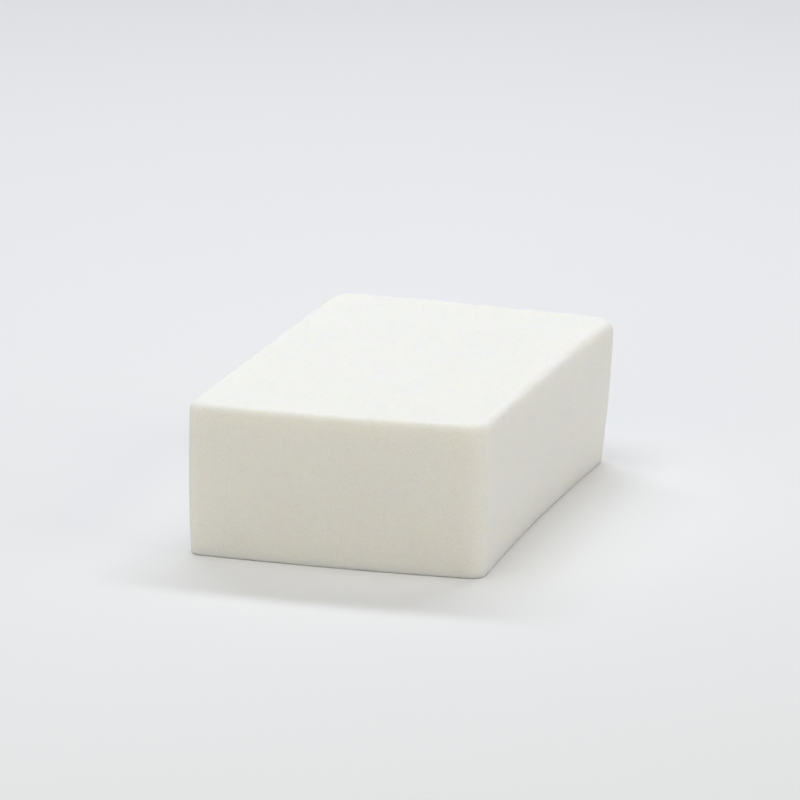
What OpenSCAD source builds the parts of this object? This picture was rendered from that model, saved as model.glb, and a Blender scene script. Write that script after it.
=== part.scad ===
// Floral foam brick: one plain block of closed foam, cut square and sold without a wrapper.
// Millimetres. +X runs across the front end, +Y along the length, +Z up.
// The origin is the centre of the face that the brick lies on.

/* [Brick] */
// Width across the front end
brick_width = 102; // [60:1:240]
// Length from the front end to the back end
brick_length = 152; // [60:1:300]
// Height from the face it lies on to the face that takes the stems
brick_height = 51; // [30:1:120]

/* [Edges] */
// Radius of the four upright corners, seen from above
corner_radius = 5; // [4:0.5:12]
// Radius of the long edges around the top and bottom faces
edge_radius = 1.5; // [0.5:0.5:3]

/* [Hidden] */
// Segments of a full circle, for the preview only: the curves themselves are true arcs
$fn = 64;

// Straight runs of the sides, between the ends of the corner arcs
straight_width = brick_width - 2 * corner_radius;
straight_length = brick_length - 2 * corner_radius;

// Side view of a block: a rectangle standing on the X axis with its four corners rounded
module side_profile(width, height, radius) {
    translate([-width / 2, radius])
        square([width, height - 2 * radius]);
    translate([-width / 2 + radius, 0])
        square([width - 2 * radius, height]);
    for (side = [-1, 1], level = [radius, height - radius])
        translate([side * (width / 2 - radius), level])
            circle(r = radius);
}

// A block of the given length along Y, with its long edges rounded and its ends cut square
module rounded_bar(width, length, height, radius) {
    translate([0, length / 2, 0])
        rotate([90, 0, 0])
            linear_extrude(height = length)
                side_profile(width, height, radius);
}

// A round post whose top and bottom rims are rounded
module rounded_post(post_radius, height, radius) {
    rotate_extrude()
        intersection() {
            side_profile(2 * post_radius, height, radius);
            square([post_radius, height]);
        }
}

// The brick: one bar each way, with a rounded post in each corner that they leave open
module foam_brick() {
    color("ivory")
        union() {
            rounded_bar(brick_width, straight_length, brick_height, edge_radius);
            rotate([0, 0, 90])
                rounded_bar(brick_length, straight_width, brick_height, edge_radius);
            for (x = [-1, 1], y = [-1, 1])
                translate([x * straight_width / 2, y * straight_length / 2, 0])
                    rounded_post(corner_radius, brick_height, edge_radius);
        }
}

foam_brick();
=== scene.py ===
"""Floral foam brick: the visible foam block, its finish and the studio that it lies in.

Metres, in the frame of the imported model: +X across the short front end, +Y along the length away from it, and
+Z up. The block fills the box of the CAD solid that it stands for.
"""

import math

import bpy
import numpy as np
from bpy.props import FloatProperty, FloatVectorProperty, IntProperty, PointerProperty
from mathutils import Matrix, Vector


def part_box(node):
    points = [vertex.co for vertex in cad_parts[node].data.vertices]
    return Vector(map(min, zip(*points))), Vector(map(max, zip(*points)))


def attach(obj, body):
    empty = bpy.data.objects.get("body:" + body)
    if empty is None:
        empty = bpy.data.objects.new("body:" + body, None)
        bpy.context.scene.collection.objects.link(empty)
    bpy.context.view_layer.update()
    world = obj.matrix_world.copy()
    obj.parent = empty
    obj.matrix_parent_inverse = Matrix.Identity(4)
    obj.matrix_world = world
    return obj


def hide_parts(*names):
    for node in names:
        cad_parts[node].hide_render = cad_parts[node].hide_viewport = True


bl_info = {
    "name": "Floral foam brick",
    "version": (1, 0, 0),
    "blender": (4, 5, 0),
    "location": "3D View > Sidebar > Foam brick",
    "description": "Shapes a brick of dry floral foam and sets it in a plain studio",
    "category": "Object",
}

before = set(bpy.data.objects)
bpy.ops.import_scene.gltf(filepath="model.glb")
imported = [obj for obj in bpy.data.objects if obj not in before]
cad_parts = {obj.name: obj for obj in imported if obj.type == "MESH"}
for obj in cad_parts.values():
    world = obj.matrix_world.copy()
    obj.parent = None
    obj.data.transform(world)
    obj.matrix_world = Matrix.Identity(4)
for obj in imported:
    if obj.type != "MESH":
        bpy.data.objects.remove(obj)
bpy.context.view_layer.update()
NODE = "foam_brick"
BODY = "root"
MM = 0.001

# Longest and shortest wavelength, and how many waves
WEAR_WAVES = (40 * MM, 6 * MM, 18)
RIPPLE_WAVES = (45 * MM, 9 * MM, 24)
# Least and greatest radius of a handling dent
DENT_RADII = (1.5 * MM, 4.5 * MM)
# Least and greatest depth of a dent, as a share of what its radius allows
DENT_SHARES = (0.3, 1.0)
# Mesh cells across the rounding of an edge
EDGE_CELLS = 12
# Greatest edge radius, as a share of the corner radius
EDGE_SHARE = 0.95
# Reach of the wear at a corner, in corner radii
CORNER_REACH = 1.3
# How far the middle of a corner's arc is from either side, in corner radii
ARC_MIDDLE = 0.3


# ---------------------------------------------------------------- settings


class FoamBlockSettings(bpy.types.PropertyGroup):
    """Shape of the block. A hot wire cuts it from a larger one, so its sides bow, lean and skew a little."""

    corner_radius: FloatProperty(
        name="Corner radius",
        description="Radius of the upright corners, the back right one aside",
        default=5.0 * MM,
        unit="LENGTH",
    )
    back_right_radius: FloatProperty(
        name="Back right radius",
        description="Radius of the upright corner at the back right",
        default=7.5 * MM,
        unit="LENGTH",
    )
    top_edge_radius: FloatProperty(
        name="Top edge radius",
        description="Radius of the edges round the top",
        default=2.1 * MM,
        unit="LENGTH",
    )
    base_edge_radius: FloatProperty(
        name="Base edge radius",
        description="Radius of the edges round the base",
        default=0.8 * MM,
        unit="LENGTH",
    )
    edge_wear: FloatProperty(
        name="Edge wear",
        description="How much the edge radius varies along an edge, as a share of it",
        default=0.22,
        min=0.0,
        max=0.5,
        subtype="FACTOR",
    )
    corner_wear: FloatProperty(
        name="Corner wear",
        description="How much larger the edge radius is at the four top corners, as a share of it",
        default=0.7,
        min=0.0,
        max=1.0,
        subtype="FACTOR",
    )
    back_right_wear: FloatProperty(
        name="Back right wear",
        description="How much larger the top edge radius grows towards the back right, as a share of it",
        default=1.0,
        min=0.0,
        max=2.0,
        subtype="FACTOR",
    )
    mesh_step: FloatProperty(
        name="Mesh step", description="Side of a mesh face on the flats", default=0.9 * MM, unit="LENGTH"
    )
    right_bow_base: FloatProperty(
        name="Right bow, base",
        description="How far the right face sinks in half way along its base. Below 0 it stands out",
        default=1.9 * MM,
        unit="LENGTH",
    )
    right_bow_top: FloatProperty(
        name="Right bow, top",
        description="How far the right face sinks in half way along its top. Below 0 it stands out",
        default=1.3 * MM,
        unit="LENGTH",
    )
    right_lean_front: FloatProperty(
        name="Right lean, front",
        description="How far the base of the right face is set in at its front end",
        default=2.25 * MM,
        unit="LENGTH",
    )
    right_lean_back: FloatProperty(
        name="Right lean, back",
        description="How far the base of the right face is set in at its back end",
        default=2.6 * MM,
        unit="LENGTH",
    )
    right_skew_base: FloatProperty(
        name="Right skew, base",
        description="How far the ends of the right face are from square at its base, the front one in",
        default=-0.3 * MM,
        unit="LENGTH",
    )
    right_skew_top: FloatProperty(
        name="Right skew, top",
        description="How far the ends of the right face are from square at its top, the front one in",
        default=1.1 * MM,
        unit="LENGTH",
    )
    front_bow_base: FloatProperty(
        name="Front bow, base",
        description="How far the front face stands out half way across its base",
        default=1.4 * MM,
        unit="LENGTH",
    )
    front_bow_top: FloatProperty(
        name="Front bow, top",
        description="How far the front face stands out half way across its top",
        default=2.4 * MM,
        unit="LENGTH",
    )
    front_skew_base: FloatProperty(
        name="Front skew, base",
        description="How far the ends of the front face are from square at its base, the right one back",
        default=1.8 * MM,
        unit="LENGTH",
    )
    front_skew_top: FloatProperty(
        name="Front skew, top",
        description="How far the ends of the front face are from square at its top, the right one back",
        default=1.4 * MM,
        unit="LENGTH",
    )
    back_lean: FloatProperty(
        name="Back lean",
        description="How far the base of the back face is set in at its right end",
        default=0.6 * MM,
        unit="LENGTH",
    )
    back_skew: FloatProperty(
        name="Back skew",
        description="How far the ends of the back face are from square, the right one forward",
        default=0.9 * MM,
        unit="LENGTH",
    )
    side_bulge: FloatProperty(
        name="Side bulge",
        description="How far the four sides stand out at half their height",
        default=0.4 * MM,
        unit="LENGTH",
    )
    ripple: FloatProperty(
        name="Ripple",
        description="Height of the slow waves that the wire leaves in the faces",
        default=0.07 * MM,
        unit="LENGTH",
    )
    dent_depth: FloatProperty(
        name="Dent depth", description="Depth of the deepest handling dent", default=0.16 * MM, unit="LENGTH"
    )
    dent_count: IntProperty(
        name="Dents", description="How many handling dents the block has", default=70, min=0, max=400
    )
    seed: IntProperty(
        name="Seed", description="Start of the random draws for ripple, wear and dents", default=7
    )


class FoamFinishSettings(bpy.types.PropertyGroup):
    """Look of the foam."""

    colour: FloatVectorProperty(
        name="Colour",
        description="Colour of the foam",
        default=(0.915, 0.910, 0.855),
        min=0.0,
        max=1.0,
        subtype="COLOR",
    )
    # Painted shade: this colour is mixed into the foam colour at the middle of each foam cell and in the open
    # cells, in place of the shade that falls in their pits.
    pore_shade_colour: FloatVectorProperty(
        name="Pore shade colour",
        description="Colour inside the open cells",
        default=(0.66, 0.645, 0.57),
        min=0.0,
        max=1.0,
        subtype="COLOR",
    )
    cell_size: FloatProperty(
        name="Cell size", description="Width of one foam cell", default=0.45 * MM, unit="LENGTH"
    )
    cell_relief: FloatProperty(
        name="Cell relief", description="Depth of the cells at the surface", default=0.08 * MM, unit="LENGTH"
    )
    scatter_depth: FloatProperty(
        name="Scatter depth",
        description="How far red light travels inside the foam",
        default=5.0 * MM,
        unit="LENGTH",
    )


class StudioSettings(bpy.types.PropertyGroup):
    """Camera, lights and floor."""

    azimuth: FloatProperty(
        name="Azimuth",
        description="Turn of the camera round the block, from straight in front",
        default=math.radians(18.24),
        subtype="ANGLE",
    )
    elevation: FloatProperty(
        name="Elevation",
        description="Height of the camera above the horizon",
        default=math.radians(15.69),
        subtype="ANGLE",
    )
    distance: FloatProperty(
        name="Distance", description="From the camera to the point it looks at", default=1.8387, unit="LENGTH"
    )
    lens: FloatProperty(name="Lens", description="Focal length in millimetres", default=250.0)
    aim: FloatVectorProperty(
        name="Aim",
        description="The point that the camera looks at",
        default=(-0.00265, 0.0, 0.0360),
        subtype="XYZ",
        unit="LENGTH",
    )
    floor_colour: FloatVectorProperty(
        name="Floor colour",
        description="Colour of the floor",
        default=(0.877, 0.877, 0.877),
        min=0.0,
        max=1.0,
        subtype="COLOR",
    )
    sky_colour: FloatVectorProperty(
        name="Sky colour",
        description="Colour of the light from all round",
        default=(0.99, 0.97, 1.0),
        min=0.0,
        max=1.0,
        subtype="COLOR",
    )
    sky_strength: FloatProperty(
        name="Sky strength", description="Strength of the light from all round", default=0.29
    )
    strip_elevation: FloatProperty(
        name="Strip elevation",
        description="Height above the horizon of the strip light behind the block",
        default=math.radians(56.3),
        subtype="ANGLE",
    )
    strip_power: FloatProperty(
        name="Strip power", description="Watts of the strip light behind", default=11.4
    )
    top_power: FloatProperty(name="Top power", description="Watts of the lamp overhead", default=2.4)
    front_power: FloatProperty(
        name="Front power", description="Watts of the warm lamp in front", default=4.15
    )
    right_power: FloatProperty(
        name="Right power", description="Watts of the warm lamp on the right", default=4.64
    )


# ---------------------------------------------------------------- shape


def stations(length, zones, step):
    """Places from 0 to length.

    Each zone, (width, cells), is laid in from both ends, and even cells fill the rest.
    """
    starts = np.concatenate([[0.0], np.cumsum([width for width, _ in zones])])
    end = np.concatenate(
        [np.linspace(a, b, cells, endpoint=False) for a, b, (_, cells) in zip(starts, starts[1:], zones)]
    )
    middle = np.linspace(starts[-1], length - starts[-1], max(2, round((length - 2 * starts[-1]) / step)) + 1)
    return np.concatenate([end, middle, (length - end)[::-1]])


def box_grid(places):
    """A closed box skin of quads on the lattice that places, three arrays of stations, lay out.

    Each of the six sides is a grid of two parameters, which run along the two axes that the side holds.
    Lattice numbers name the corners, so sides that meet share their corners and the skin has no seam.
    """
    counts = [len(p) for p in places]
    sides = []
    for along, across, fixed in ((0, 1, 2), (1, 2, 0), (2, 0, 1)):
        first, second = np.meshgrid(np.arange(counts[along]), np.arange(counts[across]), indexing="ij")
        for level, turned in ((counts[fixed] - 1, False), (0, True)):
            lattice = [None, None, None]
            lattice[along], lattice[across], lattice[fixed] = first, second, np.full_like(first, level)
            corner = np.ravel_multi_index(lattice, counts)
            quads = np.stack([corner[:-1, :-1], corner[1:, :-1], corner[1:, 1:], corner[:-1, 1:]], axis=-1)
            sides.append((quads[..., ::-1] if turned else quads).reshape(-1, 4))
    used, faces = np.unique(np.concatenate(sides), return_inverse=True)
    points = np.stack([p[i] for p, i in zip(places, np.unravel_index(used, counts))], axis=1)
    return points, faces.reshape(-1, 4)


def square_to_round(first, second):
    """Carries the square [0, R] x [0, R] to a quarter disc of radius R.

    A point keeps its direction from the square's inner corner, and its distance becomes the larger of its two
    coordinates.
    """
    length = np.hypot(first, second)
    share = np.maximum(first, second) / np.where(length > 0, length, 1.0)
    return first * share, second * share


def round_corners(points, half, radius):
    """Rounds the upright corners of a box centred on the Z axis.

    Beyond the straight runs, the place in plan is carried from a square to a quarter disc. radius holds one
    value for each point, the same all over a quarter of the plan.
    """
    inner = half[:2] - radius[:, None]
    over = np.maximum(np.abs(points[:, :2]) - inner, 0.0)
    rounded = np.stack(square_to_round(over[:, 0], over[:, 1]), axis=1)
    plan = np.sign(points[:, :2]) * (np.minimum(np.abs(points[:, :2]), inner) + rounded)
    return np.column_stack([plan, points[:, 2]])


def round_edges(points, half, radius, height, edge):
    """Rounds the edges round the top and the base of a block whose upright corners are round already.

    The outline's own outward normal and Z span the square at each edge, and a point is carried from that
    square to a quarter disc. edge, the radius there, may change from point to point. radius is that of the
    upright corners, one value for each point.
    """
    inner = half[:2] - radius[:, None]
    core = np.clip(points[:, :2], -inner, inner)
    out = points[:, :2] - core
    reach = np.linalg.norm(out, axis=1)
    normal = out / np.where(reach > 0, reach, 1.0)[:, None]
    inward = np.maximum(reach - (radius - edge), 0.0)
    middle = height / 2
    above = np.abs(points[:, 2] - middle)
    upward = np.maximum(above - (middle - edge), 0.0)
    new_inward, new_upward = square_to_round(inward, upward)
    plan = points[:, :2] + normal * (new_inward - inward)[:, None]
    level = middle + np.sign(points[:, 2] - middle) * (above + new_upward - upward)
    return np.column_stack([plan, level])


def slow_waves(points, rng, longest, shortest, count):
    """A smooth random field of about unit height.

    It is the sum of count plane cosine waves with random directions and phases, whose wavelengths run evenly,
    by ratio, from longest to shortest. A wave's height goes with its length.
    """
    length = np.geomspace(longest, shortest, count)
    direction = rng.normal(size=(count, 3))
    direction /= np.linalg.norm(direction, axis=1, keepdims=True)
    phase = rng.uniform(0.0, 2 * np.pi, count)
    height = length / np.linalg.norm(length)
    return np.cos(points @ (2 * np.pi * direction / length[:, None]).T + phase) @ height


def dents(points, rng, count, least, most):
    """Shallow round dents at count random corners of the mesh, with radii between least and most.

    A dent is a bell curve: its depth times e to minus twice the square of the distance, in radii. The depth
    is its radius as a share of most, times a random share.
    """
    centre = points[rng.integers(0, len(points), count)]
    radius = rng.uniform(least, most, count)
    depth = radius / most * rng.uniform(*DENT_SHARES, count)
    total = np.zeros(len(points))
    for place, width, deep in zip(centre, radius, depth):
        total += deep * np.exp(-((points - place) ** 2).sum(axis=1) / (0.5 * width**2))
    return total


def near_corner(points, half, radius):
    """A bell curve of the distance in plan from the middle of an upright corner's arc, 1 there."""
    away = np.abs(points[:, :2]) - (half[:2] - ARC_MIDDLE * radius)
    return np.exp(-(away**2).sum(axis=1) / (CORNER_REACH * radius) ** 2)


def wire_cut(points, half, height, s):
    """Bows and leans the sides as a hot wire leaves them.

    across and along, from -1 to 1, and up, from 0 to 1, are the place in the block. A bow is one less the
    square of the place along the face, a lean falls off evenly from the base to the top, and a skew goes
    evenly from one end of the face to the other. A side's move fades evenly to nothing at the side opposite.
    Last, all four sides bulge by one less the square of the height, from -1 to 1.
    """
    across = points[:, 0] / half[0]
    along = points[:, 1] / half[1]
    up = points[:, 2] / height
    down = 1 - up
    to_right, to_back = (1 + across) / 2, (1 + along) / 2
    to_front = 1 - to_back
    right = -(1 - along**2) * (s.right_bow_base * down + s.right_bow_top * up)
    right -= down * (s.right_lean_front * to_front + s.right_lean_back * to_back)
    right += along * (s.right_skew_base * down + s.right_skew_top * up)
    front = -(1 - across**2) * (s.front_bow_base * down + s.front_bow_top * up)
    front += across * (s.front_skew_base * down + s.front_skew_top * up)
    back = -down * s.back_lean * to_right - s.back_skew * across
    bulge = s.side_bulge * (1 - (2 * up - 1) ** 2)
    moved = points.copy()
    moved[:, 0] += to_right * right + bulge * across
    moved[:, 1] += to_back * back + to_front * front + bulge * along
    return moved


def edge_radii(points, half, height, roundest, wear, s):
    """The radius of the edge at each point.

    At the top it is larger near the corners, and grows towards the back right with the product of the places
    across and along, from 0 to 1. The field wear, from -1 to 1, varies it, and it never passes roundest.
    """
    place = points[:, :2] / half[:2]
    extra = s.corner_wear * near_corner(points, half, s.corner_radius)
    extra += s.back_right_wear * np.prod((1 + place) / 2, axis=1)
    edge = np.where(points[:, 2] > height / 2, s.top_edge_radius * (1 + extra), s.base_edge_radius)
    return np.minimum(edge * (1 + s.edge_wear * wear), roundest)


def corner_radii(points, s):
    """The radius of the upright corner in each point's quarter of the plan."""
    back_right = (points[:, :2] > 0).all(axis=1)
    return np.where(back_right, s.back_right_radius, s.corner_radius)


def fill_box(points, low, high):
    """Stretches the points evenly along each axis, so that they fill the box from low to high."""
    least, most = points.min(axis=0), points.max(axis=0)
    return low + (points - least) * (high - low) / (most - least)


def mesh_object(name, points, faces):
    """A smooth-shaded mesh object from an array of points and an array of quads, its faces outward."""
    mesh = bpy.data.meshes.new(name)
    mesh.vertices.add(len(points))
    mesh.vertices.foreach_set("co", points.astype(np.float32).ravel())
    mesh.loops.add(faces.size)
    mesh.loops.foreach_set("vertex_index", faces.astype(np.int32).ravel())
    mesh.polygons.add(len(faces))
    mesh.polygons.foreach_set("loop_start", np.arange(0, faces.size, faces.shape[1], dtype=np.int32))
    mesh.update(calc_edges=True)
    mesh.shade_smooth()
    piece = bpy.data.objects.new(name, mesh)
    bpy.context.scene.collection.objects.link(piece)
    return piece


def vertex_normals(mesh):
    """The mesh's outward normals, one row per corner."""
    normals = np.empty(len(mesh.vertices) * 3, np.float32)
    mesh.vertex_normals.foreach_get("vector", normals)
    return normals.reshape(-1, 3).astype(float)


def foam_block(s):
    """The foam block: a box skin with rounded corners and edges, cut out of true, then waved and dented.

    The edges round off inside a zone a little narrower than the corner radius. Waves and dents grow from
    nothing at the base, which stays flat, to their full height over twice the radius of its edges.
    """
    low, high = (np.array(corner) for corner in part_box(NODE))
    size = high - low
    half, height = size / 2, size[2]
    rng = np.random.default_rng(s.seed)
    roundest = EDGE_SHARE * s.corner_radius
    edge_zone = (roundest, EDGE_CELLS)
    corner_zone = (s.corner_radius - roundest, 1)
    plan_zones = (edge_zone, corner_zone)
    places = (
        stations(size[0], plan_zones, s.mesh_step),
        stations(size[1], plan_zones, s.mesh_step),
        stations(size[2], (edge_zone,), s.mesh_step),
    )
    points, faces = box_grid(places)
    points[:, :2] -= half[:2]
    wear = np.clip(slow_waves(points, rng, *WEAR_WAVES), -1.0, 1.0)
    edge = edge_radii(points, half, height, roundest, wear, s)
    corner = corner_radii(points, s)
    points = round_corners(points, half, corner)
    points = round_edges(points, half, corner, height, edge)
    points = wire_cut(points, half, height, s)
    piece = mesh_object("foam_block", points, faces)
    normals = vertex_normals(piece.data)
    off_base = np.clip(points[:, 2] / (2 * s.base_edge_radius), 0.0, 1.0)
    relief = s.ripple * slow_waves(points, rng, *RIPPLE_WAVES)
    relief -= s.dent_depth * dents(points, rng, s.dent_count, *DENT_RADII)
    points = points + normals * (relief * off_base)[:, None]
    points[:, :2] += (low + half)[:2]
    points[:, 2] += low[2]
    piece.data.vertices.foreach_set("co", fill_box(points, low, high).astype(np.float32).ravel())
    piece.data.update()
    return piece


# ---------------------------------------------------------------- finish


class Value:
    """A number that a shader works out. Arithmetic with it, or with a plain number, adds Math nodes."""

    def __init__(self, shader, socket):
        self.shader = shader
        self.socket = socket

    def _with(self, operation, first, second):
        made = self.shader.node("ShaderNodeMath", {"operation": operation}, {0: first, 1: second})
        return Value(self.shader, made.outputs[0])

    def __add__(self, other):
        return self._with("ADD", self, other)

    def __radd__(self, other):
        return self._with("ADD", other, self)

    def __sub__(self, other):
        return self._with("SUBTRACT", self, other)

    def __rsub__(self, other):
        return self._with("SUBTRACT", other, self)

    def __mul__(self, other):
        return self._with("MULTIPLY", self, other)

    def __rmul__(self, other):
        return self._with("MULTIPLY", other, self)


class Shader:
    """Builds the node tree of one material."""

    def __init__(self, name):
        self.material = bpy.data.materials.new(name)
        self.material.use_nodes = True
        self.tree = self.material.node_tree
        self.tree.nodes.clear()

    def node(self, kind, settings=None, inputs=None):
        """Adds a node of a kind.

        settings are its own properties, set first. inputs gives each socket, by number or name, a value or a
        link.
        """
        made = self.tree.nodes.new(kind)
        for name, value in (settings or {}).items():
            setattr(made, name, value)
        for name, value in (inputs or {}).items():
            socket = made.inputs[name] if isinstance(name, int) else live_socket(made.inputs, name)
            if isinstance(value, Value):
                value = value.socket
            if isinstance(value, bpy.types.NodeSocket):
                self.tree.links.new(value, socket)
            else:
                socket.default_value = value
        return made

    def value(self, kind, output, settings=None, inputs=None):
        """Adds a node as node() does, and gives one of its outputs as a Value."""
        return Value(self, live_socket(self.node(kind, settings, inputs).outputs, output))

    def mix(self, factor, first, second):
        """A colour between first, at factor 0, and second, at factor 1."""
        made = self.node("ShaderNodeMix", {"data_type": "RGBA"}, {"Factor": factor, "A": first, "B": second})
        return live_socket(made.outputs, "Result")


def live_socket(sockets, name):
    """The socket of that name which the node's settings leave in use."""
    return next(s for s in sockets if s.name == name and s.enabled)


def foam_material(s):
    """Fine closed foam: light goes in and spreads, the skin is matt, and its cells show as a faint grain of
    bumps and of painted shade in their pits.

    fine is the pattern of the foam's own cells, and openness lets some of them show more than others. coarse
    is a pattern of wider cells, a few of which stand open, where patches is high. The colour darkens as painted
    shade towards the middle of each fine cell and in the open cells, in place of the shade in their pits. tone
    is the uneven tint of the block, and grain the drag of the wire.
    """
    shader = Shader("dry_foam")
    place = shader.node("ShaderNodeTexCoord").outputs["Object"]

    def noise(size, detail):
        inputs = {"Vector": place, "Scale": 1 / size, "Detail": detail, "Roughness": 0.55}
        return shader.value("ShaderNodeTexNoise", "Fac", {"noise_dimensions": "3D"}, inputs)

    def cells(size):
        inputs = {"Vector": place, "Scale": 1 / size, "Randomness": 1.0}
        return shader.value("ShaderNodeTexVoronoi", "Distance", {"feature": "F1"}, inputs)

    def between(value, low, high):
        inputs = {"Value": value, "From Min": low, "From Max": high}
        return shader.value("ShaderNodeMapRange", "Result", {"interpolation_type": "SMOOTHSTEP"}, inputs)

    fine, coarse = cells(s.cell_size), cells(3.1 * s.cell_size)
    patches = noise(size=9 * MM, detail=1.0)
    tone = noise(size=28 * MM, detail=3.0)
    grain = noise(size=1.6 * MM, detail=4.0)
    openness = between(noise(size=6 * s.cell_size, detail=2.0), low=0.45, high=0.75)
    # Painted shade: darkest at the middle of each fine cell, in place of the shade in its pit; it also raises
    # the roughness there.
    pore_shade_mask = (1 - between(fine, low=0.10, high=0.56)) * (0.55 + 0.45 * openness)
    # Open cells: a dip in the bump, and painted shade in the colour for the shade inside them.
    open_cell_dip_and_shade = (1 - between(coarse, low=0.03, high=0.16)) * between(patches, low=0.5, high=0.62)

    depth = 0.6 * fine + 0.5 * grain - 1.1 * open_cell_dip_and_shade
    bump = shader.node(
        "ShaderNodeBump", None, {"Strength": 1.0, "Distance": s.cell_relief, "Height": depth}
    ).outputs["Normal"]
    # The colour mix: painted shade in the cell pits and the open cells, plus an even random tint from tone.
    shade = 0.45 * pore_shade_mask + 0.5 * open_cell_dip_and_shade + 0.10 * (tone - 0.35)
    colour_with_pit_shade = shader.mix(shade, (*s.colour, 1.0), (*s.pore_shade_colour, 1.0))
    roughness = 0.80 + 0.12 * grain + 0.06 * pore_shade_mask
    surface = shader.node(
        "ShaderNodeBsdfPrincipled",
        {"subsurface_method": "RANDOM_WALK"},
        {
            "Base Color": colour_with_pit_shade,
            "Roughness": roughness,
            "Normal": bump,
            "Subsurface Weight": 0.8,
            "Subsurface Radius": (1.0, 0.86, 0.62),
            "Subsurface Scale": s.scatter_depth,
            "Specular IOR Level": 0.22,
            "IOR": 1.4,
        },
    )
    shader.node("ShaderNodeOutputMaterial", None, {"Surface": surface.outputs["BSDF"]})
    return shader.material


# ---------------------------------------------------------------- stage


def direction(azimuth, elevation):
    """Unit vector from the block towards an azimuth and an elevation.

    The azimuth is 0 straight in front and grows to the right.
    """
    flat = math.cos(elevation)
    return Vector((math.sin(azimuth) * flat, -math.cos(azimuth) * flat, math.sin(elevation)))


def place_camera(s):
    """A long lens, level from side to side, aimed at a point near the block's middle."""
    data = bpy.data.cameras.new("camera")
    data.lens = s.lens
    data.clip_start, data.clip_end = 0.05, 50.0
    camera = bpy.data.objects.new("camera", data)
    bpy.context.scene.collection.objects.link(camera)
    back = direction(s.azimuth, s.elevation)
    camera.location = Vector(s.aim) + back * s.distance
    camera.rotation_euler = back.to_track_quat("Z", "Y").to_euler()
    bpy.context.scene.camera = camera


def floor_material(s):
    """Matt painted board with a very faint unevenness."""
    shader = Shader("pale_board")
    place = shader.node("ShaderNodeTexCoord").outputs["Object"]
    inputs = {"Vector": place, "Scale": 3.0, "Detail": 2.0}
    uneven = shader.value("ShaderNodeTexNoise", "Fac", {"noise_dimensions": "3D"}, inputs)
    darker = tuple(0.97 * c for c in s.floor_colour)
    colour = shader.mix(uneven, (*s.floor_colour, 1.0), (*darker, 1.0))
    surface = shader.node(
        "ShaderNodeBsdfPrincipled", None, {"Base Color": colour, "Roughness": 0.9, "Specular IOR Level": 0.1}
    )
    shader.node("ShaderNodeOutputMaterial", None, {"Surface": surface.outputs["BSDF"]})
    return shader.material


def lay_floor(s):
    """A flat square of board, wide enough to fill every view from above."""
    reach = 8.0
    corners = reach * np.array([[-1, -1, 0], [1, -1, 0], [1, 1, 0], [-1, 1, 0]], float)
    board = mesh_object("floor", corners, np.array([[0, 1, 2, 3]]))
    board.data.materials.append(floor_material(s))


def area_light(name, towards, distance, size, power, colour, look_at=(0.0, 0.0, 0.0)):
    """A rectangular lamp that stands off from look_at and faces it. size is its width and height."""
    data = bpy.data.lights.new(name, "AREA")
    data.shape = "RECTANGLE"
    data.size, data.size_y = size
    data.energy = power
    data.color = colour
    lamp = bpy.data.objects.new(name, data)
    bpy.context.scene.collection.objects.link(lamp)
    lamp.location = Vector(look_at) + towards * distance
    lamp.rotation_euler = towards.to_track_quat("Z", "Y").to_euler()


def light_stage(s):
    """A long thin strip behind the block gives it a shadow that is crisp in front and soft at the ends.

    The strip and the lamp overhead are a little blue. The lamps in front and on the right, which fill the
    shade, are warm, and the sky is even.
    """
    world = bpy.data.worlds.new("studio")
    world.use_nodes = True
    background = world.node_tree.nodes["Background"]
    background.inputs["Color"].default_value = (*s.sky_colour, 1.0)
    background.inputs["Strength"].default_value = s.sky_strength
    bpy.context.scene.world = world
    area_light(
        "strip",
        direction(azimuth=math.pi, elevation=s.strip_elevation),
        distance=1.5,
        size=(1.6, 0.2),
        power=s.strip_power,
        colour=(0.894, 0.935, 1.0),
        look_at=(-0.25, 0.0, 0.0),
    )
    area_light(
        "overhead",
        Vector((0, 0, 1)),
        distance=0.9,
        size=(0.5, 0.5),
        power=s.top_power,
        colour=(0.874, 0.937, 1.0),
        look_at=(-0.12, -0.2, 0.0),
    )
    area_light(
        "front",
        direction(azimuth=math.radians(-10), elevation=math.radians(25)),
        distance=1.6,
        size=(1.6, 1.0),
        power=s.front_power,
        colour=(1.0, 0.87, 0.55),
    )
    area_light(
        "right",
        direction(azimuth=math.radians(90), elevation=math.radians(30)),
        distance=1.6,
        size=(1.2, 1.0),
        power=s.right_power,
        colour=(1.0, 0.95, 0.81),
    )


# ---------------------------------------------------------------- operators and panel


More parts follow.
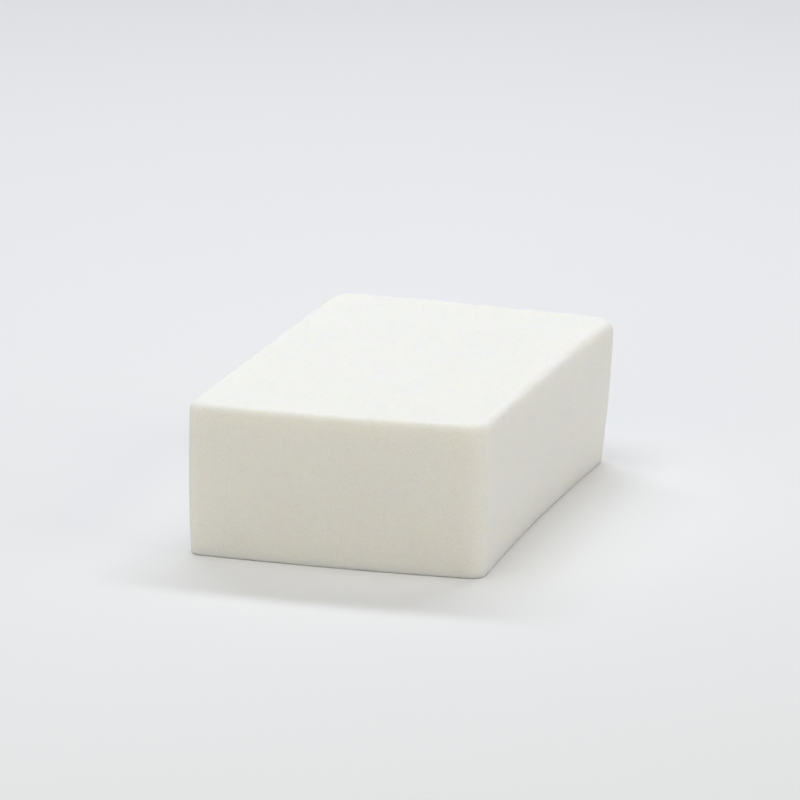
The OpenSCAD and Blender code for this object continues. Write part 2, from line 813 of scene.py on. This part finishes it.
class FOAMBRICK_OT_block(bpy.types.Operator):
    """Shape the foam block and give it its finish"""

    bl_idname = "foam_brick.block"
    bl_label = "Shape the block"

    def execute(self, context):
        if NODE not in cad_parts:
            raise RuntimeError(f"the packed model has no node named {NODE}")
        scene = context.scene
        piece = foam_block(scene.foam_block)
        piece.data.materials.append(foam_material(scene.foam_finish))
        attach(piece, BODY)
        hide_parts(NODE)
        return {"FINISHED"}


class FOAMBRICK_OT_stage(bpy.types.Operator):
    """Set the camera, the lights and the floor"""

    bl_idname = "foam_brick.stage"
    bl_label = "Set the stage"

    def execute(self, context):
        studio = context.scene.foam_studio
        place_camera(studio)
        lay_floor(studio)
        light_stage(studio)
        context.scene.view_settings.view_transform = "Standard"
        return {"FINISHED"}


class FOAMBRICK_PT_panel(bpy.types.Panel):
    """The block, its finish and the studio"""

    bl_idname = "FOAMBRICK_PT_panel"
    bl_label = "Foam brick"
    bl_space_type = "VIEW_3D"
    bl_region_type = "UI"
    bl_category = "Foam brick"

    def draw(self, context):
        for owner, operator in (
            (context.scene.foam_block, None),
            (context.scene.foam_finish, FOAMBRICK_OT_block),
            (context.scene.foam_studio, FOAMBRICK_OT_stage),
        ):
            box = self.layout.box()
            for name in owner.__annotations__:
                box.prop(owner, name)
            if operator:
                box.operator(operator.bl_idname)


CLASSES = (
    FoamBlockSettings,
    FoamFinishSettings,
    StudioSettings,
    FOAMBRICK_OT_block,
    FOAMBRICK_OT_stage,
    FOAMBRICK_PT_panel,
)


def register():
    for item in CLASSES:
        bpy.utils.register_class(item)
    bpy.types.Scene.foam_block = PointerProperty(type=FoamBlockSettings)
    bpy.types.Scene.foam_finish = PointerProperty(type=FoamFinishSettings)
    bpy.types.Scene.foam_studio = PointerProperty(type=StudioSettings)


def unregister():
    del bpy.types.Scene.foam_studio
    del bpy.types.Scene.foam_finish
    del bpy.types.Scene.foam_block
    for item in reversed(CLASSES):
        bpy.utils.unregister_class(item)


def main():
    register()
    bpy.ops.foam_brick.block()
    bpy.ops.foam_brick.stage()


if __name__ == "__main__":
    main()
